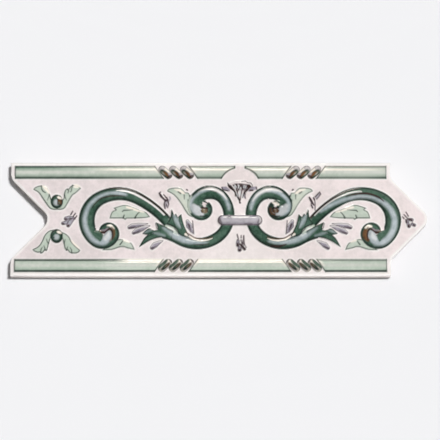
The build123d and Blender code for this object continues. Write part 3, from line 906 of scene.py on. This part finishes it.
def mould_berry(side):
    """A berry, a little taller than wide, with a painted pale reflection and a painted glint on it and, on
    the upper one, a painted warm reflection.
    """
    off_x = from_axis + berry_from_axis
    off_y = face_y - side * berry_height
    distance = np.hypot(off_x, off_y * berry_squeeze)
    raise_to(cap(distance, berry_width, berry_rise))
    inside = berry_width / 2 - distance
    body = covered(inside)
    thin_ground(inside)
    lay("green", body)
    lay("dark", body * 0.95 * fading(inside - 0.45, 1.0))
    # painted reflection: a pale lavender patch low on the berry
    reflection_x, pale_reach = (-0.2, 1.55) if side > 0 else (0.0, 1.4)
    pale = covered(pale_reach - np.hypot(off_x - reflection_x, off_y + 0.7), 1.0)
    lay("lavender", 0.95 * pale)
    lay("white", 0.2 * pale)
    # on the upper berry, a painted warm reflection in umber, amber and moss
    if side > 0:
        warm_reflection = np.minimum(1.0 - np.abs(off_x - 1.6), 1.3 - np.abs(off_y + 0.3))
        lay("umber", 0.95 * covered(inside - 0.3) * covered(warm_reflection + 0.3))
        lay("amber", 0.9 * covered(inside - 0.4) * covered(warm_reflection - 0.15, 0.6))
        lay("moss", 0.6 * covered(0.45 - np.hypot(off_x - 1.3, off_y + 0.9), 0.6))
    else:
        lay("umber", 0.9 * covered(0.55 - np.hypot(off_x - 2.0, off_y - 1.1)))
        lay("dark", 0.8 * covered(0.4 - np.hypot(off_x + 1.4, off_y + 0.9)))
    # painted glint towards the top right
    lay("cream", body * covered(0.75 - np.hypot((off_x - 1.4) / 1.6, off_y - 2.2 + 0.25 * off_x), 0.5))


def mould_petals(petals, x, rim, light):
    """Loose petals: low drops in mauve with a dark rim and light along the upper side."""
    for petal in petals:
        inside = inside_stroke(petal, x, face_y) + petal_swell
        height[...] += stroke_rise * covered(inside)
        thin_ground(inside)
        lay("plum", 0.95 * covered(inside))
        lay("mauve", covered(inside - rim, 0.6))
        upper_side = 0.1 - inside_stroke(petal, x, face_y + 0.6)
        lay("white", light * covered(np.minimum(inside - 0.35, upper_side), 0.4))


def mould_clasp():
    """The round-ended bar that binds the two inner scrolls. Its tall cap lifts the whole ground as well."""
    end = clasp_length / 2 - clasp_width / 2
    off_x = np.maximum(np.abs(from_axis) - end, 0.0)
    off_y = face_y + clasp_drop
    distance = np.hypot(off_x, off_y)
    raise_to(cap(distance, clasp_width, clasp_rise))
    inside = clasp_width / 2 - distance
    body = covered(inside)
    thin_ground(inside)
    lay("mauve", body)
    # painted highlight: white across the top of the bar
    lay("white", body * 0.22 * covered(1.5 - np.abs(off_y), 1.4))
    lay("plum", 0.85 * body * covered(0.45 - inside))
    lay("umber", 0.6 * body * covered(0.8 - inside) * covered(np.abs(from_axis) - end - 0.6, 0.8))
    brush(clasp_ends, "white", from_axis, 0.5, softness=0.6)
    brush(clasp_shades, "plum", from_axis, 0.7, softness=0.7)
    brush(clasp_glints, "white", from_axis, 0.9, softness=0.6)


def mould_face():
    """Moulds and paints the whole ornament, from what lies lowest to what lies on top."""
    lay("mauve", 0.1 * np.clip((-from_axis - left_tint_start) / left_tint_reach, 0.0, 1.0))
    lay("white", 0.4 * fading(np.hypot(from_axis, face_y - pale_height) - pale_radius, pale_reach))
    # painted highlight: white along the rounded rim
    lay("white", 0.95 * fading(rim_distance() - rim_line, rim_reach))
    lay("white", 0.9 * covered(face_y - rail_offset - rail_width / 2, 0.8))
    mould_rails()
    mould_bindings()
    for outline in (curl_leaf, foot_leaf, back_leaf):
        mould_leaf(outline, half_x, face_y, leaf_rises, "sage", 0.8)
    brush(leaf_sheens, "cream", half_x, 0.22, softness=2.0)
    brush(leaf_lights, "cream", half_x, 1.0, softness=0.7)
    brush(leaf_veins, "dark", half_x, 0.85, rise=-0.15)
    mould_scroll(outer_scroll, outer_bands_left, outer_bands_right, outer_eye)
    fill_gaps(curl_webs, "green", rise=2.3)
    fill_gaps(curl_hearts, "lavender", rise=2.3)
    brush(curl_cores, "white", half_x, 0.45, softness=1.2)
    # painted warm reflections in amber on the curl
    brush(curl_warm_reflections, "amber", half_x, 0.9, softness=0.6)
    brush(curl_creases, "umber", half_x, 1.0, rise=-0.2)
    brush(curl_glints, "mauve", half_x, 0.9)
    brush(curl_glints, "amber", half_x, 0.3)
    mould_scroll(inner_scroll, inner_bands_left, inner_bands_right, inner_eye)
    fill_gaps(inner_webs, "green", rise=1.8)
    fill_gaps(inner_hearts + inner_eyes, "lavender", rise=1.8)
    brush(inner_hearts, "mauve", half_x, 0.25, softness=1.2)
    brush(inner_hearts, "white", half_x, 0.3, softness=1.4)
    brush(inner_eyes, "amber", half_x, 1.0, softness=0.6)
    brush(inner_eyes, "moss", from_axis, 0.25, softness=0.8)
    brush(inner_sheens, "cream", half_x, 0.15, softness=0.8)
    brush(inner_eye_shades, "umber", half_x, 0.95)
    brush(inner_creases, "dark", half_x, 0.95)
    brush(inner_glints, "ground", half_x, 0.9)
    brush(right_inner_glints, "cream", from_axis, 0.8, softness=0.7)
    fill_gaps(sheath_webs, "sage", rise=1.2)
    for outline in (tail_sheath, stem_sheath):
        mould_leaf(outline, half_x, face_y, sheath_rises, "green", 0.9)
    brush(sheath_lights, "lavender", half_x, 0.85, rise=0.1, softness=1.6)
    brush(sheath_sheens, "lavender", half_x, 0.5, softness=1.0)
    brush(sheath_glints, "white", half_x, 0.8, softness=0.6)
    brush(sheath_veins, "dark", half_x, 0.8, rise=-0.2)
    brush(tail_lines, "umber", half_x, 0.8)
    brush(tail_lines, "amber", half_x, 0.5)
    brush(right_tail_shades, "umber", from_axis, 0.9, softness=0.7)
    brush(tail_glints, "cream", half_x, 0.95)
    mould_clasp()
    for outline in berry_leaves:
        mould_leaf(outline, from_axis, face_y, leaf_rises, "sage", 0.9)
    brush(berry_leaf_lights, "cream", from_axis, 1.0, softness=0.6)
    brush(berry_leaf_veins, "dark", from_axis, 0.85, rise=-0.15)
    for side in (-1, 1):
        mould_berry(side)
    mould_leaf(centre_fan, from_axis, face_y, sheath_rises, "ground", 0.0)
    brush(fan_wings, "mauve", from_axis, 1.0, rise=stroke_rise)
    brush(fan_shades, "plum", from_axis, 0.9, softness=0.7)
    brush(fan_hatches, "plum", from_axis, 0.6, softness=0.8)
    brush(fan_strokes + fan_wing_edges, "umber", from_axis, 1.0, rise=-0.3)
    brush(fan_lights, "lavender", from_axis, 0.9)
    brush(fan_lights, "white", from_axis, 0.4)
    mould_petals(half_petals, half_x, rim=0.45, light=0.75)
    brush(half_petal_shades, "plum", half_x, 0.9)
    brush(seed_hearts, "umber", half_x, 0.8)
    brush(forked_fills, "mauve", from_axis, 0.8, rise=stroke_rise)
    brush(forked_lights, "white", from_axis, 0.9)
    for tines, x in ((half_tines, half_x), (forked_tines, from_axis)):
        brush(tines, "plum", x, 1.0, rise=stroke_rise)
        brush(tines, "umber", x, 0.4)
    brush(sprig_links, "plum", from_axis, 0.75, rise=stroke_rise)
    mould_petals(sprig_petals, from_axis, rim=0.5, light=0.0)
    brush(sprig_tines, "plum", from_axis, 1.0, rise=stroke_rise)
    brush(sprig_tines, "umber", from_axis, 0.45)
    brush(sprig_shades, "umber", from_axis, 1.0)
    brush(sprig_lights, "lavender", from_axis, 0.4)


def softened(field, reach):
    """The field blurred over a reach, as a glaze fills in what it covers."""
    spread = 3
    steps = np.arange(-spread, spread + 1)
    kernel = np.exp(-0.5 * (steps * cell / reach) ** 2)
    kernel /= kernel.sum()
    for axis in (0, 1):
        padding = [(spread, spread) if side == axis else (0, 0) for side in (0, 1)]
        padded = np.pad(field, padding, mode="edge")
        size = field.shape[axis]
        parts = [weight * padded.take(range(start, start + size), axis)
                 for start, weight in enumerate(kernel)]
        field = sum(parts)
    return field


def rim_distance():
    """How far each place of the face lies from its rim."""
    slope = np.gradient(row_shift, rows)
    end_share = 1.0 / np.sqrt(1.0 + slope**2)[:, None]
    from_ends = np.minimum(columns, tile_length - columns)[None, :] * end_share
    return np.minimum(from_ends, tile_width / 2 - np.abs(face_y))


def face_heights():
    """Height of the glazed face over the back, with its rounded edge."""
    from_edge = rim_distance()
    short = np.clip(arris_radius - from_edge, 0.0, arris_radius)
    drop = arris_radius - np.sqrt(arris_radius**2 - short**2)
    return body_thickness - drop + softened(height, glaze_softening)


def groove_boxes():
    """The low and high corner of each groove in the back."""
    boxes = []
    for number in range(groove_count):
        middle_y = (number - (groove_count - 1) / 2) * groove_pitch
        inset = max(0.0, flank_half_height - abs(middle_y)) / math.tan(flank_angle)
        low_x = shoulder_x + inset + groove_end_margin
        high_x = far_shoulder_x + inset - groove_end_margin
        boxes.append((low_x, middle_y - groove_width / 2, high_x, middle_y + groove_width / 2))
    return boxes


def grid_triangles():
    """Triangles of the face, with each cell cut along its shorter diagonal."""
    numbers = np.arange(face_x.size).reshape(face_x.shape)
    here = numbers[:-1, :-1]
    right = numbers[:-1, 1:]
    above = numbers[1:, :-1]
    over = numbers[1:, 1:]
    leans_right = np.repeat((np.diff(row_shift) > 0)[:, None], here.shape[1], axis=1)
    third = np.where(leans_right, above, over)
    fourth = np.where(leans_right, right, here)
    lower = np.stack([here, right, third], axis=-1).reshape(-1, 3)
    upper = np.stack([fourth, over, above], axis=-1).reshape(-1, 3)
    return np.vstack([lower, upper])


def rim_numbers():
    """Vertex numbers round the rim of the face, anticlockwise from above."""
    numbers = np.arange(face_x.size).reshape(face_x.shape)
    return np.concatenate([numbers[0, :-1], numbers[:-1, -1], numbers[-1, :0:-1], numbers[:0:-1, 0]])


def rim_ring(level, inset):
    """Places of a ring under the rim, at a level over the back, drawn in by an inset."""
    row_numbers, column_numbers = np.divmod(rim_numbers(), len(columns))
    ring_y = rows[row_numbers] * (1.0 - 2 * inset / tile_width)
    ring_x = inset + columns[column_numbers] * (1.0 - 2 * inset / tile_length)
    ring_x = shoulder_x + end_profile(ring_y) + ring_x
    return np.column_stack([ring_x, ring_y, np.full(len(ring_x), level)])


def wall_faces(upper, lower):
    """Faces between two rings of vertex numbers."""
    return np.column_stack([upper, lower, np.roll(lower, -1), np.roll(upper, -1)]).tolist()


def back_faces(foot):
    """The back with its sunk grooves: new places, and faces numbered from the foot ring on."""
    boxes = groove_boxes()
    corners = [(x, y) for low_x, low_y, high_x, high_y in boxes
               for x, y in ((low_x, low_y), (high_x, low_y), (high_x, high_y), (low_x, high_y))]
    count = len(foot)
    points = [Vector(place[:2]) for place in foot] + [Vector(corner) for corner in corners]
    squares = [[count + 4 * number + corner for corner in range(4)] for number in range(groove_count)]
    edges = [(number, (number + 1) % count) for number in range(count)]
    sides = [(square[corner], square[(corner + 1) % 4]) for square in squares for corner in range(4)]
    faces = []
    inside_only = 1
    tolerance = 1e-6
    for triangle in delaunay_2d_cdt(points, edges + sides, [], inside_only, tolerance)[2]:
        middle = sum((points[number] for number in triangle), Vector((0.0, 0.0))) / 3
        sunk = any(box[0] < middle.x < box[2] and box[1] < middle.y < box[3] for box in boxes)
        faces.append([number + (len(corners) if sunk else 0) for number in reversed(triangle)])
    for near, far in sides:
        faces.append([near, near + len(corners), far + len(corners), far])
    levels = [(x, y, level) for level in (0.0, groove_depth) for x, y in corners]
    return np.array(levels), faces


def tile_mesh():
    """The whole tile as one closed mesh: glazed face, side walls, and a back with its keying grooves."""
    blocks = [np.stack([face_x, face_y, face_heights()], axis=-1).reshape(-1, 3)]
    faces = grid_triangles().tolist()
    ring = rim_numbers()
    start = face_x.size
    rings = [(level, 0.0) for level in wall_levels] + [(0.0, foot_chamfer)]
    for level, inset in rings:
        blocks.append(rim_ring(level, inset))
        lower = np.arange(start, start + len(ring))
        faces += wall_faces(ring, lower)
        ring = lower
        start += len(ring)
    levels, back = back_faces(blocks[-1])
    blocks.append(levels)
    faces += [[ring[0] + number for number in face] for face in back]
    mesh = bpy.data.meshes.new("border_tile_glazed")
    mesh.from_pydata((np.vstack(blocks) * MM).tolist(), [], faces)
    for name in glazes:
        values = np.full(len(mesh.vertices), float(name == "ground"), np.float32)
        values[: face_x.size] = paint[name].ravel()
        mesh.attributes.new("paint_" + name, "FLOAT", "POINT").data.foreach_set("value", values)
    mesh.validate()
    mesh.shade_smooth()
    mesh.set_sharp_from_angle(angle=sharp_angle)
    return mesh


def add_node(tree, kind, sockets, **settings):
    """A shader node, with its settings and its sockets set or linked."""
    node = tree.nodes.new(kind)
    for name, value in settings.items():
        setattr(node, name, value)
    for name, value in sockets.items():
        if isinstance(value, bpy.types.NodeSocket):
            tree.links.new(value, node.inputs[name])
        else:
            node.inputs[name].default_value = value
    return node


def maths(tree, operation, *values):
    """The result of a maths node on numbers and sockets."""
    return add_node(tree, "ShaderNodeMath", dict(enumerate(values)), operation=operation).outputs["Value"]


def noise(tree, place, scale, detail, roughness=0.5):
    """A noise value from 0 to 1 over the object."""
    sockets = {"Vector": place, "Scale": scale, "Detail": detail, "Roughness": roughness}
    return add_node(tree, "ShaderNodeTexNoise", sockets).outputs["Fac"]


def ranged(tree, value, low, high, to_low=0.0, to_high=1.0):
    """A value mapped smoothly from one range to another."""
    sockets = {"Value": value, "From Min": low, "From Max": high, "To Min": to_low, "To Max": to_high}
    return add_node(tree, "ShaderNodeMapRange", sockets, interpolation_type="SMOOTHSTEP").outputs["Result"]


def mixed(tree, share, first, second):
    """A mix of two colours."""
    node = add_node(tree, "ShaderNodeMix", {}, data_type="RGBA")
    tree.links.new(share, node.inputs["Factor"])
    for socket, value in (("A", first), ("B", second)):
        target = next(item for item in node.inputs if item.name == socket and item.type == "RGBA")
        if isinstance(value, bpy.types.NodeSocket):
            tree.links.new(value, target)
        else:
            target.default_value = value
    return next(item for item in node.outputs if item.type == "RGBA")


def glaze_material():
    """Glossy painted glaze over the face and the upper walls, and bare biscuit below it."""
    glaze_run = 0.004
    glaze_line = (0.0036, 0.0042)
    biscuit_roughness = 0.7
    biscuit_relief = 2.0
    material = bpy.data.materials.new("painted_glaze")
    material.use_nodes = True
    tree = material.node_tree
    shader = tree.nodes["Principled BSDF"]
    place = add_node(tree, "ShaderNodeTexCoord", {}).outputs["Object"]
    cloud = noise(tree, place, scale=60.0, detail=2.0)
    fleck = noise(tree, place, scale=420.0, detail=3.0, roughness=0.6)
    blotch = maths(tree, "ADD", cloud, fleck)
    tone = ranged(tree, blotch, 0.7, 1.3)
    total = None
    for name, (thin, pooled) in glazes.items():
        toned = mixed(tree, tone, thin, pooled)
        share = add_node(tree, "ShaderNodeAttribute", {}, attribute_name="paint_" + name).outputs["Fac"]
        scaled = add_node(tree, "ShaderNodeVectorMath", {0: toned, "Scale": share}, operation="SCALE")
        if total is None:
            total = scaled
        else:
            parts = {0: total.outputs["Vector"], 1: scaled.outputs["Vector"]}
            total = add_node(tree, "ShaderNodeVectorMath", parts, operation="ADD")
    level = add_node(tree, "ShaderNodeSeparateXYZ", {"Vector": place}).outputs["Z"]
    wander = noise(tree, place, scale=90.0, detail=3.0)
    run_down = maths(tree, "MULTIPLY_ADD", wander, glaze_run, level)
    glazed = ranged(tree, run_down, *glaze_line)
    grain = noise(tree, place, scale=1400.0, detail=4.0, roughness=0.7)
    clay = mixed(tree, grain, colour(240, 233, 228), colour(226, 216, 209))
    finished = mixed(tree, glazed, clay, total.outputs["Vector"])
    tree.links.new(finished, shader.inputs["Base Color"])
    gloss = ranged(tree, fleck, 0.3, 0.7, to_low=0.09, to_high=0.17)
    matt = maths(tree, "MULTIPLY_ADD", glazed, -biscuit_roughness, biscuit_roughness)
    rough = maths(tree, "ADD", gloss, matt)
    tree.links.new(rough, shader.inputs["Roughness"])
    ripple = noise(tree, place, scale=240.0, detail=2.0)
    coarse = maths(tree, "MULTIPLY", matt, grain)
    relief = maths(tree, "MULTIPLY_ADD", coarse, biscuit_relief, ripple)
    bump = add_node(tree, "ShaderNodeBump", {"Height": relief, "Strength": 0.25, "Distance": 0.0001})
    tree.links.new(bump.outputs["Normal"], shader.inputs["Normal"])
    return material


def floor_material():
    """A plain pale floor, which throws less light back at the walls than it shows."""
    material = bpy.data.materials.new("pale_floor")
    material.use_nodes = True
    tree = material.node_tree
    shader = tree.nodes["Principled BSDF"]
    path = add_node(tree, "ShaderNodeLightPath", {}).outputs
    seen = maths(tree, "MAXIMUM", path["Is Camera Ray"], path["Is Glossy Ray"])
    seen = maths(tree, "MAXIMUM", seen, path["Is Transmission Ray"])
    thrown_back = (0.5, 0.5, 0.5, 1.0)
    shown = (0.895, 0.895, 0.91, 1.0)
    shade = mixed(tree, seen, thrown_back, shown)
    tree.links.new(shade, shader.inputs["Base Color"])
    shader.inputs["Roughness"].default_value = 0.9
    shader.inputs["Specular IOR Level"].default_value = 0.0
    return material


def add_object(name, data):
    """An object linked to the scene."""
    item = bpy.data.objects.new(name, data)
    bpy.context.scene.collection.objects.link(item)
    return item


def aim(item, place, target):
    """Puts a camera or lamp at a place, looking at a target, with +Y of the tile upwards."""
    item.location = place
    item.rotation_euler = (Vector(target) - Vector(place)).to_track_quat("-Z", "Y").to_euler()


def add_lamp(name, kind, place, target, **settings):
    """A lamp at a place, aimed at a target, with its settings."""
    lamp = add_object(name, bpy.data.lights.new(name, kind))
    for setting, value in settings.items():
        setattr(lamp.data, setting, value)
    aim(lamp, place, target)
    return lamp


def build_stage(tile):
    """The floor, the lamps, the world and the camera."""
    floor_mesh = bpy.data.meshes.new("floor")
    reach = 4.0
    corners = [(-reach, -reach, 0), (reach, -reach, 0), (reach, reach, 0), (-reach, reach, 0)]
    floor_mesh.from_pydata(corners, [], [(0, 1, 2, 3)])
    floor_mesh.materials.append(floor_material())
    add_object("floor", floor_mesh)

    middle = (0.0, 0.0, 0.0)
    key = add_lamp("key_light", "SUN", (0.24, 0.12, 1.0), middle, energy=0.85 * math.pi,
                   angle=math.radians(8.0))
    fill = add_lamp("fill_light", "SUN", (1.0, -1.0, 0.15), middle, energy=0.13 * math.pi,
                    angle=math.radians(40.0))
    front = add_lamp("front_light", "AREA", (0.0, -0.062, 0.003), (0.0, 0.0, 0.004), shape="RECTANGLE",
                     size=0.23, size_y=0.004, energy=0.032)
    strip = add_lamp("strip_light", "AREA", (0.0, 0.32, 0.17), (0.0, 0.0, 0.01), shape="RECTANGLE",
                     size=0.14, size_y=0.045, energy=0.7, color=(1.0, 0.95, 0.86))
    for lamp in (key, fill, front):
        lamp.visible_glossy = False
    front.visible_camera = False
    strip.visible_diffuse = False
    tile_alone = bpy.data.collections.new("tile_alone")
    tile_alone.objects.link(tile)
    for lamp in (fill, front):
        lamp.data.cycles.max_bounces = 0
        lamp.light_linking.receiver_collection = tile_alone

    world = bpy.context.scene.world or bpy.data.worlds.new("world")
    bpy.context.scene.world = world
    world.use_nodes = True
    sky = world.node_tree
    direction = add_node(sky, "ShaderNodeTexCoord", {}).outputs["Generated"]
    upward = add_node(sky, "ShaderNodeSeparateXYZ", {"Vector": direction}).outputs["Z"]
    sky.nodes["Background"].inputs["Color"].default_value = (1.0, 1.0, 1.0, 1.0)
    strength = ranged(sky, upward, 0.0, 1.0, to_low=0.1, to_high=0.22)
    sky.links.new(strength, sky.nodes["Background"].inputs["Strength"])

    camera = add_object("camera", bpy.data.cameras.new("camera"))
    distance = 1.8
    tilt = math.radians(9.0)
    target = Vector((0.6, -0.5, body_thickness)) * MM
    view_width = 231.6 * MM
    camera.data.sensor_fit = "HORIZONTAL"
    camera.data.angle = 2 * math.atan(view_width / 2 / distance)
    aim(camera, target + distance * Vector((0.0, -math.sin(tilt), math.cos(tilt))), target)
    bpy.context.scene.camera = camera
    bpy.context.scene.view_settings.view_transform = "Standard"


mould_face()
tile = add_object("border_tile_glazed", tile_mesh())
tile.data.materials.append(glaze_material())
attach(tile, "root")
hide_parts("border_tile")
build_stage(tile)
